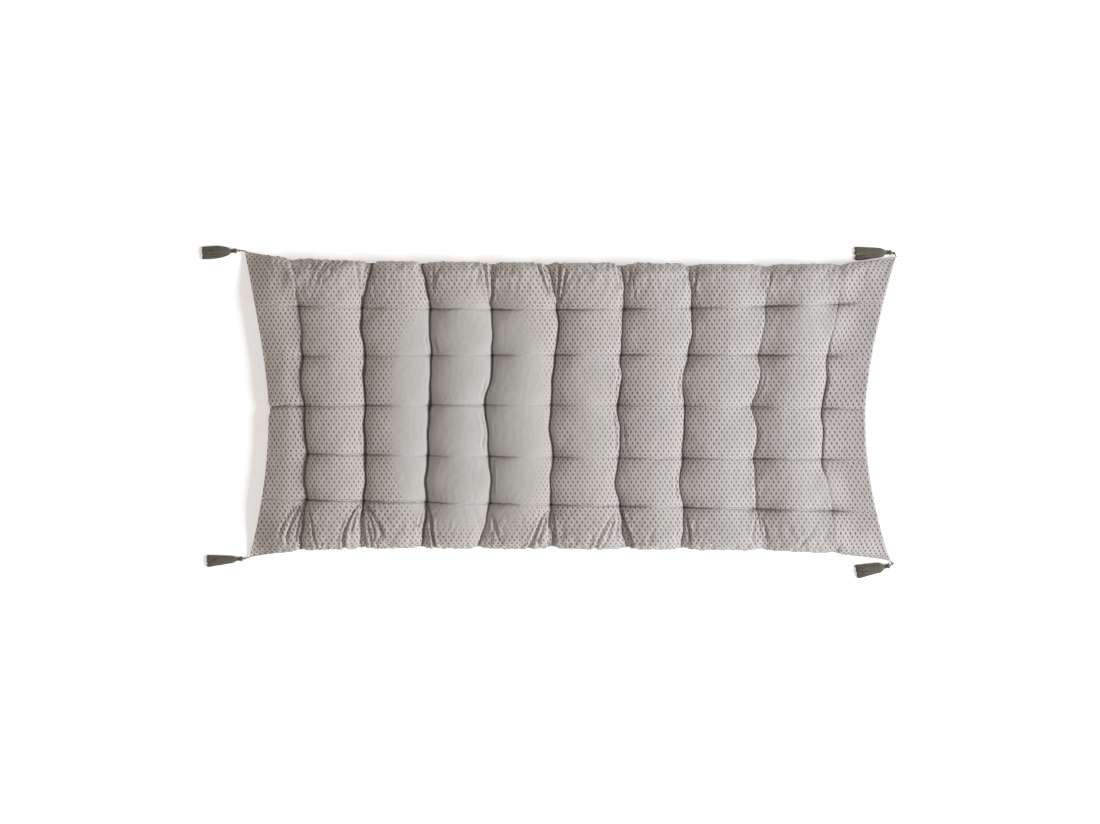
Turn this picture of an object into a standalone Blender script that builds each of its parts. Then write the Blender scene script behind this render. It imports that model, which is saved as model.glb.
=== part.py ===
# Tufted floor mattress, filled, with a tassel at each corner.
# It lies on its back on the floor at Z = 0. X runs along its length, Y across it.
# Left is -X, right is +X, near is -Y and far is +Y. Units are metres.
import math

import bmesh
import bpy
from mathutils import Vector

MM = 0.001

# Heights of the filled body above the floor
CROWN_HEIGHT = 60 * MM
TUFT_TOP_HEIGHT = 27 * MM
TUFT_UNDER_HEIGHT = 16 * MM
SEAM_HEIGHT = 22 * MM
CORNER_HEIGHT = 4 * MM
SEAM_THICKNESS = 2 * MM

# How full the pads are
PAD_ROUNDNESS_ACROSS = 0.52
PAD_ROUNDNESS_ALONG = 0.42
CREASE_FILL = 0.36
CROSS_CREASE_FILL = 0.78
UNDERSIDE_SPREAD = 7 * MM
CORNER_PINCH_REACH = 0.75

# Corner points of the cover
CORNER_LEFT_FAR = (-566 * MM, 299 * MM)
CORNER_LEFT_NEAR = (-557 * MM, -269 * MM)
CORNER_RIGHT_FAR = (642 * MM, 289 * MM)
CORNER_RIGHT_NEAR = (632 * MM, -276 * MM)

# How far each side is drawn in at its middle, and how suddenly it runs out to a corner.
# The end sides have one sharpness for their near half and one for their far half.
LONG_SIDE_DRAW = {"far": 18 * MM, "near": 19 * MM}
LONG_SIDE_SHARPNESS = {"far": 8.0, "near": 5.5}
END_SIDE_DRAW = {"left": 41 * MM, "right": 53 * MM}
END_SIDE_SHARPNESS = {"left": (2.05, 1.4), "right": (2.05, 1.55)}
SEAM_NOTCH = 4 * MM
SEAM_NOTCH_SHARPNESS = 10

# One row for each column of tufts, from the left. Tuft X at the near, second, middle,
# fourth and far row, where its crease meets the near and far seam beyond the last tuft,
# and how far the crease bows to the right between one tuft and the next. All in mm.
TUFT_COLUMNS = (
    #  near  second middle fourth far  seams near far     bows from the near end
    ((-449, -447, -451, -456, -463), (-12, -16), (-6, -4, -7, 2)),
    ((-345, -341, -340, -340, -345), (-4, 18), (4, -2, -4, -4)),
    ((-227, -225, -222, -219, -221), (-9, -15), (-3, 0, 1, -2)),
    ((-111, -112, -120, -107, -108), (-22, 2), (1, 2, 5, 2)),
    ((2, 7, 4, 11, 14), (3, -20), (-4, -6, -3, 1)),
    ((129, 127, 125, 131, 137), (12, -4), (-6, 5, 5, -2)),
    ((247, 245, 248, 255, 261), (-4, -3), (-8, 2, -6, 5)),
    ((382, 377, 373, 385, 397), (12, 1), (-2, 8, 8, 1)),
    ((520, 501, 502, 512, 532), (4, 6), (2, 3, 4, -2)),
)

# One row for each row of tufts, from the near side: tuft Y at the left, middle and right.
TUFT_ROWS = (
    (-162, -171, -181),
    (-77, -83, -87),
    (10, 13, 8),
    (102, 105, 104),
    (195, 189, 197),
)

# Where the grid lines of one pad lie, as shares of the way from crease to crease. They
# crowd beside the creases, where the cover turns down most sharply.
PAD_LINES_ACROSS = (0.0, 0.06, 0.2, 0.5, 0.8, 0.94)
PAD_LINES_ALONG = (0.0, 0.09, 0.33, 0.67, 0.91)

# Tassels: head, neck and skirt lie along the tassel's own X axis, away from the knot
FIT_GAP = 0.3 * MM
CORD_RADIUS = 1.15 * MM
CORD_START_GAP = 0.45 * MM
CORD_STEPS = 4
CORD_SIDES = 3
KNOT_HALF_SHARE = 0.8
HEAD_RADIUS = 4.8 * MM
HEAD_LENGTH = 7.3 * MM
HEAD_AXIS_HEIGHT = 4.9 * MM
NECK_RADIUS = 3.0 * MM
NECK_LENGTH = 3.4 * MM
NECK_ROOT = 0.6 * MM
WRAP_THICKNESS = 1.0 * MM
WRAP_LENGTH = 2.4 * MM
WRAP_SIDES = 18
ROOT_WIDTH = 8.4 * MM
ROOT_DEPTH = 6.4 * MM
LOCKS_ACROSS = 8
LOCKS_DEEP = 4
LOCK_GAP = 0.35 * MM
LOCK_HEIGHT = 1.9 * MM
LOCK_LAYER_PITCH = 2.25 * MM
LAYER_WIDTH_SHARES = (1.0, 0.96, 0.84, 0.64)
LOCK_STEPS = (0.14, 0.5, 1.0)
LOCK_LENGTH_CHANGE = 2.5 * MM
LOCK_UNEVENNESS = (2.4, 1.7)
SMOOTH_ANGLE = math.radians(40)
MERGE_DISTANCE = 0.01 * MM

# Rings round the head, from the neck to the cord: share of its length and of its radius
HEAD_RINGS = ((0.12, 0.78), (0.42, 1.0), (0.78, 0.74), (1.0, 0.26))

# One row for each tassel, in mm: the corner that it is sewn to, the middle of its cord's
# knot, the knot's radius, the start of its skirt, its turn from +X in degrees, the
# skirt's length, and the skirt's width at the shoulder, halfway and at the cut end.
TASSELS = {
    # place       corner             knot            radius  start           turn
    "left_far": (CORNER_LEFT_FAR, (-576.2, 299.2), 2.4, (-589.9, 298.5), 184.1, 54, (17, 24.4, 24.2)),
    "left_near": (CORNER_LEFT_NEAR, (-565.4, -271.5), 2.3, (-579, -272.5), 183.8, 57, (14, 17, 22.6)),
    "right_far": (CORNER_RIGHT_FAR, (638.2, 294.4), 3.3, (624.1, 295.5), 181.9, 59, (17.2, 21, 26)),
    "right_near": (CORNER_RIGHT_NEAR, (635.2, -281.2), 2.8, (620.8, -286.7), 190.5, 54, (17.4, 21, 25.6)),
}

COLLECTION_NAME = "floor_mattress"


def clear_scene():
    for old in list(bpy.data.objects):
        bpy.data.objects.remove(old, do_unlink=True)


def make_collection():
    collection = bpy.data.collections.new(COLLECTION_NAME)
    bpy.context.scene.collection.children.link(collection)
    return collection


def make_material(name, colour, roughness):
    material = bpy.data.materials.new(name)
    material.use_nodes = True
    shader = material.node_tree.nodes["Principled BSDF"]
    shader.inputs["Base Color"].default_value = (*colour, 1.0)
    shader.inputs["Roughness"].default_value = roughness
    shader.inputs["Metallic"].default_value = 0.0
    return material


def add_object(name, mesh, material, collection):
    piece = bpy.data.objects.new(name, mesh)
    mesh.materials.append(material)
    collection.objects.link(piece)
    return piece


def mix(first, second, share):
    return first + (second - first) * share


def smooth_step(share):
    share = min(max(share, 0.0), 1.0)
    return share * share * (3 - 2 * share)


# Plan of the cover: seams, tufts and creases


def side_bend(share, sharpness):
    """1 at the middle of a side and 0 at its corners; share runs from -1 to 1."""
    return 1 - abs(share) ** sharpness


def seam_notch(share_from_crease):
    """Depth of the nick where a crease meets the seam."""
    return SEAM_NOTCH * math.exp(-(SEAM_NOTCH_SHARPNESS * share_from_crease) ** 2)


def long_side_y(side, x):
    left = CORNER_LEFT_FAR if side == "far" else CORNER_LEFT_NEAR
    right = CORNER_RIGHT_FAR if side == "far" else CORNER_RIGHT_NEAR
    along = (x - left[0]) / (right[0] - left[0])
    draw = LONG_SIDE_DRAW[side] * side_bend(2 * along - 1, LONG_SIDE_SHARPNESS[side])
    return mix(left[1], right[1], along) - math.copysign(draw, left[1])


def end_side_x(side, y):
    near = CORNER_LEFT_NEAR if side == "left" else CORNER_RIGHT_NEAR
    far = CORNER_LEFT_FAR if side == "left" else CORNER_RIGHT_FAR
    along = (y - near[1]) / (far[1] - near[1])
    share = 2 * along - 1
    sharpness = END_SIDE_SHARPNESS[side][share > 0]
    draw = END_SIDE_DRAW[side] * side_bend(share, sharpness)
    return mix(near[0], far[0], along) - math.copysign(draw, near[0])


def row_y(row, x):
    """Y of a row of tufts at this X: a curve through its left, middle and right."""
    left, middle, right = (value * MM for value in TUFT_ROWS[row])
    share = x / (0.5 * MM * (TUFT_COLUMNS[-1][0][2] - TUFT_COLUMNS[0][0][2]))
    return middle + share * (right - left) / 2 + share**2 * (left + right - 2 * middle) / 2


def crease_points(column):
    """The points that a crease runs through, from the near seam to the far seam."""
    tufts, (near_shift, far_shift), _ = TUFT_COLUMNS[column]
    points = [(x * MM, row_y(row, x * MM)) for row, x in enumerate(tufts)]
    near_x = (tufts[0] + near_shift) * MM
    far_x = (tufts[-1] + far_shift) * MM
    near = (near_x, long_side_y("near", near_x))
    far = (far_x, long_side_y("far", far_x))
    return [near, *points, far]


def end_seam_points(side):
    """Points of a short side's seam, one for each row of tufts, and its two corners."""
    near = CORNER_LEFT_NEAR if side == "left" else CORNER_RIGHT_NEAR
    far = CORNER_LEFT_FAR if side == "left" else CORNER_RIGHT_FAR
    edge_x = near[0]
    rows = [row_y(row, edge_x) for row in range(len(TUFT_ROWS))]
    return [near, *((end_side_x(side, y), y) for y in rows), far]


def curve_through(points, place):
    """A smooth curve through points; place counts them from the first."""
    last = len(points) - 1
    start = min(int(place), last - 1)
    share = place - start
    before = points[max(start - 1, 0)]
    first, second = points[start], points[start + 1]
    after = points[min(start + 2, last)]
    result = []
    for a, b, c, d in zip(before, first, second, after):
        slope_in, slope_out = (c - a) / 2, (d - b) / 2
        result.append(
            (2 * share**3 - 3 * share**2 + 1) * b
            + (share**3 - 2 * share**2 + share) * slope_in
            + (3 * share**2 - 2 * share**3) * c
            + (share**3 - share**2) * slope_out
        )
    return result


def crease_at(column, place):
    """Point of a crease, with its bow between one tuft and the next."""
    x, y = curve_through(crease_points(column), place)
    gap = int(place) - 1
    bows = TUFT_COLUMNS[column][2]
    if 0 <= gap < len(bows):
        x += bows[gap] * MM * math.sin(math.pi * (place - int(place))) ** 2
    return x, y


def upright_line(line, place):
    """Seam or crease number line, counted from the left seam, at this place across."""
    if 0 < line <= len(TUFT_COLUMNS):
        return crease_at(line - 1, place)
    side = "left" if line == 0 else "right"
    x, y = curve_through(end_seam_points(side), place)
    return end_side_x(side, y), y


def plan_point(along, across):
    """X and Y of the cover. along counts pads from the left seam, across from the near."""
    line = min(int(along), len(TUFT_COLUMNS))
    share = along - line
    left, right = upright_line(line, across), upright_line(line + 1, across)
    x, y = mix(left[0], right[0], share), mix(left[1], right[1], share)
    return notched(x, y, along, across, share)


def notched(x, y, along, across, share):
    """The long seams follow their own curve, nicked where a crease meets them."""
    from_seam = min(across, len(TUFT_ROWS) + 1 - across)
    if from_seam >= 1:
        return x, y
    side = "near" if across < 1 else "far"
    edge_y = long_side_y(side, x)
    by_crease = 0 < round(along) <= len(TUFT_COLUMNS)
    nick = seam_notch(along - round(along)) if by_crease else 0.0
    edge_y -= math.copysign(nick, edge_y)
    line = min(int(along), len(TUFT_COLUMNS))
    seam = 0 if side == "near" else len(TUFT_ROWS) + 1
    straight_y = mix(upright_line(line, seam)[1], upright_line(line + 1, seam)[1], share)
    return x, y + (edge_y - straight_y) * (1 - from_seam) ** 2


# Height of the cover above the floor


def dome(share, roundness):
    return max(math.sin(math.pi * share), 0.0) ** roundness


def line_fill(line, last_line, crease_fill):
    """How full a line between two pads stays: nothing on a seam."""
    return 0.0 if line in (0, last_line) else crease_fill


def pad_fullness(along, across):
    """0 at seams and tufts, 1 on the crown of a pad."""
    columns, rows = len(TUFT_COLUMNS) + 1, len(TUFT_ROWS) + 1
    column, row = min(int(along), columns - 1), min(int(across), rows - 1)
    a, b = along - column, across - row
    upright_fill = mix(
        line_fill(column, columns, CREASE_FILL),
        line_fill(column + 1, columns, CREASE_FILL),
        smooth_step(a),
    )
    level_fill = mix(
        line_fill(row, rows, CROSS_CREASE_FILL),
        line_fill(row + 1, rows, CROSS_CREASE_FILL),
        smooth_step(b),
    )
    dome_a, dome_b = dome(a, PAD_ROUNDNESS_ACROSS), dome(b, PAD_ROUNDNESS_ALONG)
    upright_dip = (1 - dome_a) * (1 - upright_fill * dome_b)
    level_dip = (1 - dome_b) * (1 - level_fill * dome_a)
    fullness = 1 - (upright_dip + level_dip - upright_dip * level_dip)
    corner_distance = math.hypot(min(along, columns - along), min(across, rows - across))
    return max(fullness, 0.0) * smooth_step(corner_distance / CORNER_PINCH_REACH)


def seam_height(along, across):
    """The seam hangs at half the height of the filled sides and drops to each corner."""
    columns, rows = len(TUFT_COLUMNS) + 1, len(TUFT_ROWS) + 1
    corner_distance = math.hypot(min(along, columns - along), min(across, rows - across))
    return mix(CORNER_HEIGHT, SEAM_HEIGHT, smooth_step(corner_distance))


def cover_height(along, across, top):
    columns, rows = len(TUFT_COLUMNS) + 1, len(TUFT_ROWS) + 1
    inward = min(along, columns - along, across, rows - across)
    half_seam = SEAM_THICKNESS / 2 if top else -SEAM_THICKNESS / 2
    tuft = TUFT_TOP_HEIGHT if top else TUFT_UNDER_HEIGHT
    base = mix(seam_height(along, across) + half_seam, tuft, smooth_step(inward))
    fullness = pad_fullness(along, across)
    if top:
        return base + (CROWN_HEIGHT - base) * fullness
    return max(base - (base + UNDERSIDE_SPREAD) * fullness, 0.0)


# The filled body: two panels of cloth sewn together at the seam


def pad_places(lines, pads):
    """Grid lines along one direction, closer together beside the creases."""
    return [pad + share for pad in range(pads) for share in lines] + [float(pads)]


def build_mattress(material, collection):
    places_along = pad_places(PAD_LINES_ACROSS, len(TUFT_COLUMNS) + 1)
    places_across = pad_places(PAD_LINES_ALONG, len(TUFT_ROWS) + 1)
    steps_along, steps_across = len(places_along) - 1, len(places_across) - 1
    body = bmesh.new()
    rims = []
    for top in (True, False):
        old_faces = set(body.faces)
        made = bmesh.ops.create_grid(
            body, x_segments=steps_along, y_segments=steps_across, size=0.5
        )
        for vert in made["verts"]:
            along = places_along[round((vert.co.x + 0.5) * steps_along)]
            across = places_across[round((vert.co.y + 0.5) * steps_across)]
            x, y = plan_point(along, across)
            vert.co = (x, y, cover_height(along, across, top))
        panel = [face for face in body.faces if face not in old_faces]
        if not top:
            bmesh.ops.reverse_faces(body, faces=panel)
        edges = {edge for face in panel for edge in face.edges if edge.is_boundary}
        rims += list(edges)
    bmesh.ops.bridge_loops(body, edges=rims)
    bmesh.ops.recalc_face_normals(body, faces=body.faces)
    mesh = bpy.data.meshes.new("mattress")
    body.to_mesh(mesh)
    body.free()
    mesh.shade_smooth()
    return add_object("mattress", mesh, material, collection)


# Tassels


def turned(name, profile, material, collection, steps):
    """A solid turned about its own X axis; profile holds (x, radius) from end to end."""
    mesh = bpy.data.meshes.new(name)
    points = [(x, 0.0, radius) for x, radius in profile]
    edges = [(i, i + 1) for i in range(len(points) - 1)]
    mesh.from_pydata(points, edges, [])
    piece = add_object(name, mesh, material, collection)
    screw = piece.modifiers.new("turn", "SCREW")
    screw.axis = "X"
    screw.steps = steps
    screw.render_steps = steps
    screw.use_merge_vertices = True
    screw.merge_threshold = MERGE_DISTANCE
    screw.use_normal_calculate = True
    return piece


def build_cord(name, points, radii, end_turn, collection, material):
    """The cord that is sewn to the corner, swollen at its knot, up to the head."""
    curve = bpy.data.curves.new(name, "CURVE")
    curve.dimensions = "3D"
    curve.resolution_u = CORD_STEPS
    curve.bevel_depth = CORD_RADIUS
    curve.bevel_resolution = CORD_SIDES
    curve.use_fill_caps = True
    spline = curve.splines.new("BEZIER")
    spline.bezier_points.add(len(points) - 1)
    for knot, point, radius in zip(spline.bezier_points, points, radii):
        knot.co = point
        knot.radius = radius / CORD_RADIUS
        knot.handle_left_type = "AUTO"
        knot.handle_right_type = "AUTO"
    last = spline.bezier_points[-1]
    last.handle_left_type = "FREE"
    last.handle_left = last.co - FIT_GAP * end_turn
    return add_object(name, curve, material, collection)


def build_wrap(name, material, collection):
    """The thread wound round the neck, as one plain band."""
    inner = NECK_RADIUS + FIT_GAP
    outer = inner + WRAP_THICKNESS
    bevel = WRAP_THICKNESS / 3
    profile = (
        (bevel, inner),
        (0.0, inner + bevel),
        (0.0, outer - bevel),
        (bevel, outer),
        (WRAP_LENGTH - bevel, outer),
        (WRAP_LENGTH, outer - bevel),
        (WRAP_LENGTH, inner + bevel),
        (WRAP_LENGTH - bevel, inner),
        (bevel, inner),
    )
    return turned(name, profile, material, collection, WRAP_SIDES)


def lock_point(column, layer, share, width, skirt_length, corner_y, corner_z):
    """Corner of a lock's end at a share of the skirt's length from its root."""
    pitch = width * LAYER_WIDTH_SHARES[layer] / LOCKS_ACROSS
    half_lock = (pitch - LOCK_GAP) / 2
    y = (column + 0.5 - LOCKS_ACROSS / 2) * pitch + corner_y * half_lock
    z = layer * LOCK_LAYER_PITCH + LOCK_HEIGHT * (corner_z + 1) / 2
    by_column, by_layer = LOCK_UNEVENNESS
    uneven = math.sin(by_column * column + by_layer * layer + skirt_length / MM)
    length = skirt_length + LOCK_LENGTH_CHANGE * (uneven - 1) / 2
    return Vector((share * length, y, z))


def add_skirt(body, skirt_length, widths):
    """A plate of lock roots, each drawn out and bent down until the locks lie level."""
    made = bmesh.ops.create_grid(
        body, x_segments=LOCKS_ACROSS, y_segments=LOCKS_DEEP, size=0.5
    )
    plate_bottom = HEAD_AXIS_HEIGHT - ROOT_DEPTH / 2
    for vert in made["verts"]:
        across, deep = vert.co.x, vert.co.y
        vert.co = (0, across * ROOT_WIDTH, plate_bottom + (deep + 0.5) * ROOT_DEPTH)
    body.normal_update()
    roots = {}
    for face in body.faces:
        middle = face.calc_center_median()
        column = int((middle.y / ROOT_WIDTH + 0.5) * LOCKS_ACROSS)
        layer = int((middle.z - plate_bottom) / ROOT_DEPTH * LOCKS_DEEP)
        roots[face] = (column, layer)
    bmesh.ops.inset_individual(
        body, faces=list(roots), thickness=LOCK_GAP / 2, use_even_offset=True
    )
    for root, (column, layer) in roots.items():
        face = root
        for share, width in zip(LOCK_STEPS, widths):
            face = bmesh.ops.extrude_discrete_faces(body, faces=[face])["faces"][0]
            middle = face.calc_center_median()
            for vert in face.verts:
                corner_y = 1 if vert.co.y > middle.y else -1
                corner_z = 1 if vert.co.z > middle.z else -1
                vert.co = lock_point(
                    column, layer, share, width, skirt_length, corner_y, corner_z
                )
    return [edge for edge in body.edges if edge.is_boundary]


def add_head(body, rim):
    """Rings from the root plate back over the neck and round the head."""
    sections = [(-NECK_ROOT, NECK_RADIUS), (-NECK_LENGTH, NECK_RADIUS)]
    for length_share, radius_share in HEAD_RINGS:
        x = -NECK_LENGTH - length_share * HEAD_LENGTH
        sections.append((x, radius_share * HEAD_RADIUS))
    edges = rim
    for x, radius in sections:
        grown = bmesh.ops.extrude_edge_only(body, edges=edges)["geom"]
        edges = [item for item in grown if isinstance(item, bmesh.types.BMEdge)]
        edges = [edge for edge in edges if edge.is_boundary]
        for vert in {vert for edge in edges for vert in edge.verts}:
            angle = math.atan2(vert.co.z - HEAD_AXIS_HEIGHT, vert.co.y)
            vert.co = (
                x,
                radius * math.cos(angle),
                HEAD_AXIS_HEIGHT + radius * math.sin(angle),
            )
    bmesh.ops.contextual_create(body, geom=edges)


def build_tassel(name, skirt_length, widths, material, collection):
    body = bmesh.new()
    rim = add_skirt(body, skirt_length, widths)
    add_head(body, rim)
    bmesh.ops.recalc_face_normals(body, faces=body.faces)
    mesh = bpy.data.meshes.new(name)
    body.to_mesh(mesh)
    body.free()
    mesh.shade_smooth()
    mesh.set_sharp_from_angle(angle=SMOOTH_ANGLE)
    return add_object(name, mesh, material, collection)


def build_tassels(yarn, thread, cord_cotton, collection):
    for place, row in TASSELS.items():
        corner, knot, knot_radius, start, turn, skirt_length, widths = row
        knot_radius *= MM
        turn = math.radians(turn)
        away = Vector((math.cos(turn), math.sin(turn), 0.0))
        root = Vector((start[0] * MM, start[1] * MM, 0.0))
        widths = [width * MM for width in widths]
        tassel = build_tassel(
            f"tassel_{place}", skirt_length * MM, widths, yarn, collection
        )
        tassel.location = root
        tassel.rotation_euler.z = turn
        wrap = build_wrap(f"wrap_{place}", thread, collection)
        wrap.location = root - (NECK_LENGTH + WRAP_LENGTH) / 2 * away
        wrap.location.z = HEAD_AXIS_HEIGHT
        wrap.rotation_euler.z = turn

        tip = Vector((*corner, CORNER_HEIGHT))
        knot = Vector((knot[0] * MM, knot[1] * MM, max(knot_radius, CORNER_HEIGHT)))
        cord_start = tip + CORD_START_GAP * (knot - tip).normalized()
        cord_end = root - (NECK_LENGTH + HEAD_LENGTH + FIT_GAP) * away
        cord_end.z = HEAD_AXIS_HEIGHT
        into, out_of = (knot - tip).normalized(), (cord_end - knot).normalized()
        points = (
            cord_start,
            knot - KNOT_HALF_SHARE * knot_radius * into,
            knot,
            knot + KNOT_HALF_SHARE * knot_radius * out_of,
            cord_end,
        )
        radii = (CORD_RADIUS, CORD_RADIUS, knot_radius, CORD_RADIUS, CORD_RADIUS)
        build_cord(f"cord_{place}", points, radii, away, collection, cord_cotton)


def centre_on_origin(collection):
    """Moves everything so that the middle of its footprint is at X = Y = 0."""
    bpy.context.view_layer.update()
    graph = bpy.context.evaluated_depsgraph_get()
    corners = []
    for piece in collection.objects:
        if piece.type == "MESH":
            shown = piece.evaluated_get(graph)
            corners += [shown.matrix_world @ vert.co for vert in shown.data.vertices]
    for axis in (0, 1):
        low = min(corner[axis] for corner in corners)
        high = max(corner[axis] for corner in corners)
        for piece in collection.objects:
            if piece.parent is None:
                piece.location[axis] -= (low + high) / 2


def main():
    clear_scene()
    collection = make_collection()
    cover_cotton = make_material("printed_cotton", (0.44, 0.41, 0.38), 0.9)
    yarn = make_material("tassel_yarn", (0.109, 0.098, 0.080), 0.95)
    thread = make_material("wrap_thread", (0.085, 0.077, 0.063), 0.95)
    cord_cotton = make_material("cord_cotton", (0.118, 0.108, 0.088), 0.95)
    build_mattress(cover_cotton, collection)
    build_tassels(yarn, thread, cord_cotton, collection)
    centre_on_origin(collection)


main()
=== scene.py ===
from functools import partialmethod
from math import cos, pi, radians, sin

import bpy
import numpy as np
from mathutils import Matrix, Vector


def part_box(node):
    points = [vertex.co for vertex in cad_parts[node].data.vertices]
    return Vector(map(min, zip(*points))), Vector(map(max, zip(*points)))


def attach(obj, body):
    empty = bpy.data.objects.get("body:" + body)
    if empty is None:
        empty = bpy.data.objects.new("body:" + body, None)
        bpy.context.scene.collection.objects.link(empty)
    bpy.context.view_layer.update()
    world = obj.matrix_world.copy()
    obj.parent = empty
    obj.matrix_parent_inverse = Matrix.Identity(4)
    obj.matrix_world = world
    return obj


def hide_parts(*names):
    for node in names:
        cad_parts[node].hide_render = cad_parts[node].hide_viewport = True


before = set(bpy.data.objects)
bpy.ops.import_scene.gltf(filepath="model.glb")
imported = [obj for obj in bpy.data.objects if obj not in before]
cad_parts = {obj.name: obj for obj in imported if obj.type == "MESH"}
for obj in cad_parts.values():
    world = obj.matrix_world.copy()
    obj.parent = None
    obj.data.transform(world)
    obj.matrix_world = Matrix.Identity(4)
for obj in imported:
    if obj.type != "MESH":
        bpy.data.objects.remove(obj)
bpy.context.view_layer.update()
scene = bpy.context.scene
print("frame loaded")

mm = 0.001
fullTurn = 2 * pi

# heights in mm; the floor presses the crown of the underside flat
panels = {
    "top": dict(crown=60, tuft=27, seamStep=1),
    "under": dict(crown=-7, tuft=16, seamStep=-1),
}

# seam heights in mm, how round and full the pads are, and the lines of the mesh
coverShape = dict(
    seam=22, corner=4, cornerReach=0.75, nickDepth=4, nickWidth=0.1, roundAcross=0.56,
    roundFaint=1.5, roundAlong=0.36, roundAtSeam=0.45, roundRightStrip=0.9, faintGroove=0.55,
    leftStrip=dict(height=0.4, reach=0.63, lean=1.5),
    rightStrip=dict(rim=0.46, rimWidth=0.06, rise=-0.08, reach=0.9), creaseFill=(0.72, 0.34),
    crossFill=0.92, crossSharpness=0.45, leastCross=0.14, crossStart=0.1, crossEnding=0.5,
    crossJoin=0.22, linesPerPad=(56, 27), crowding=(0.48, 0.7), crowdingAtSeams=0.1,
    underStep=(4, 3),
)

# corners of the cover in mm, as (x, y)
corners = {
    ("left", "far"): (-566, 299),
    ("left", "near"): (-557, -269),
    ("right", "far"): (642, 289),
    ("right", "near"): (632, -276),
}

# how far each side is drawn in, in mm, and how suddenly it runs out to its corners
sides = {
    "far": (18, 8),
    "near": (19, 5.5),
    "left": (41, (2.05, 1.4)),
    "right": (53, (2.05, 1.55)),
}

# for each column its tufts from the near side, its shifts at the two seams, and its bows
tuftColumns = (
    ((-449, -447, -451, -456, -463), (-12, -16), (-6, -4, -7, 2)),
    ((-345, -341, -340, -340, -345), (-4, 18), (4, -2, -4, -4)),
    ((-227, -225, -222, -219, -221), (-9, -15), (-3, 0, 1, -2)),
    ((-111, -112, -120, -107, -108), (-22, 2), (1, 2, 5, 2)),
    ((2, 7, 4, 11, 14), (3, -20), (-4, -6, -3, 1)),
    ((129, 127, 125, 131, 137), (12, -4), (-6, 5, 5, -2)),
    ((247, 245, 248, 255, 261), (-4, -3), (-8, 2, -6, 5)),
    ((382, 377, 373, 385, 397), (12, 1), (-2, 8, 8, 1)),
    ((520, 501, 502, 512, 532), (4, 6), (2, 3, 4, -2)),
)

# tuft y of each row at the left, the middle and the right, from the near side
tuftRows = (
    (-162, -171, -181),
    (-77, -83, -87),
    (10, 13, 8),
    (102, 105, 104),
    (195, 189, 197),
)

padsAlong = len(tuftColumns) + 1
padsAcross = len(tuftRows) + 1

# puckers and gathers in mm, and where their waves start
longSeams = {
    "near": dict(place=0, outward=-1, tuftRow=0, pucker=1.2, gather=0.8, waves=(2.1, 1.3)),
    "far": dict(place=padsAcross, outward=1, tuftRow=-1, pucker=0.6, gather=0.5, waves=(0.4, 4.1)),
}

# folds from a tuft to the seam: column, shift at the seam, bow, from and to as shares of
# the way, depth and half width; lengths in mm
longSeams["near"]["folds"] = (
    (1, -44, -26, 0.02, 0.62, 3.8, 3.2), (1, -38, -14, 0.04, 0.8, 3.6, 3.2),
    (1, -24, -5, 0.1, 0.72, 2.6, 3), (1, 14, 5, 0.12, 0.75, 3.2, 2.6),
    (1, 20, 2, 0.55, 1, 3, 2.4), (1, 44, 0, 0.82, 1, 2.6, 2.2),
    (2, -33, -14, 0.02, 1, 8, 2.8), (2, -24, -7, 0.06, 0.66, 3.6, 2.8),
    (2, 8, -2, 0.08, 0.9, 4, 2.6), (2, 46, 10, 0.02, 0.68, 5.2, 3),
    (2, 28, 6, 0.03, 0.72, 3, 2.6), (2, 18, 2, 0.45, 1, 2.6, 2.4),
    (3, -20, -6, 0.05, 0.6, 3.4, 2.8), (3, 15, 2, 0.04, 1, 7.5, 2.8),
    (3, 22, 3, 0.05, 0.55, 2.4, 2.8), (4, 12, 1, 0.25, 0.6, 2.2, 3),
    (4, 20, 1.5, 0.25, 0.8, 2.4, 3.2), (5, -40, -7, 0.12, 1, 5.5, 3.4),
    (5, -27, -3, 0.2, 0.92, 3.6, 3), (5, -3, -1.5, 0.1, 1, 4.8, 2.8),
    (5, 5, 3.5, 0.06, 0.95, 3.4, 2.8), (6, -47, -8, 0.12, 1, 4, 3.4),
    (6, -30, -4, 0.25, 0.75, 3.4, 3.2), (6, -9, -1.5, 0.25, 0.7, 2.2, 2.8),
    (6, 26, 1.5, 0.05, 0.95, 5, 3.2), (6, 17, 2.5, 0.12, 1, 3.6, 3),
    (7, 10, 4, 0.15, 0.8, 3.6, 3), (8, -14, -2, 0.1, 0.7, 1.5, 3.2),
    (8, 14, 8, 0.15, 0.7, 1.3, 3.6), (9, -74, -6, 0.35, 0.85, 2, 4),
)
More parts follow.
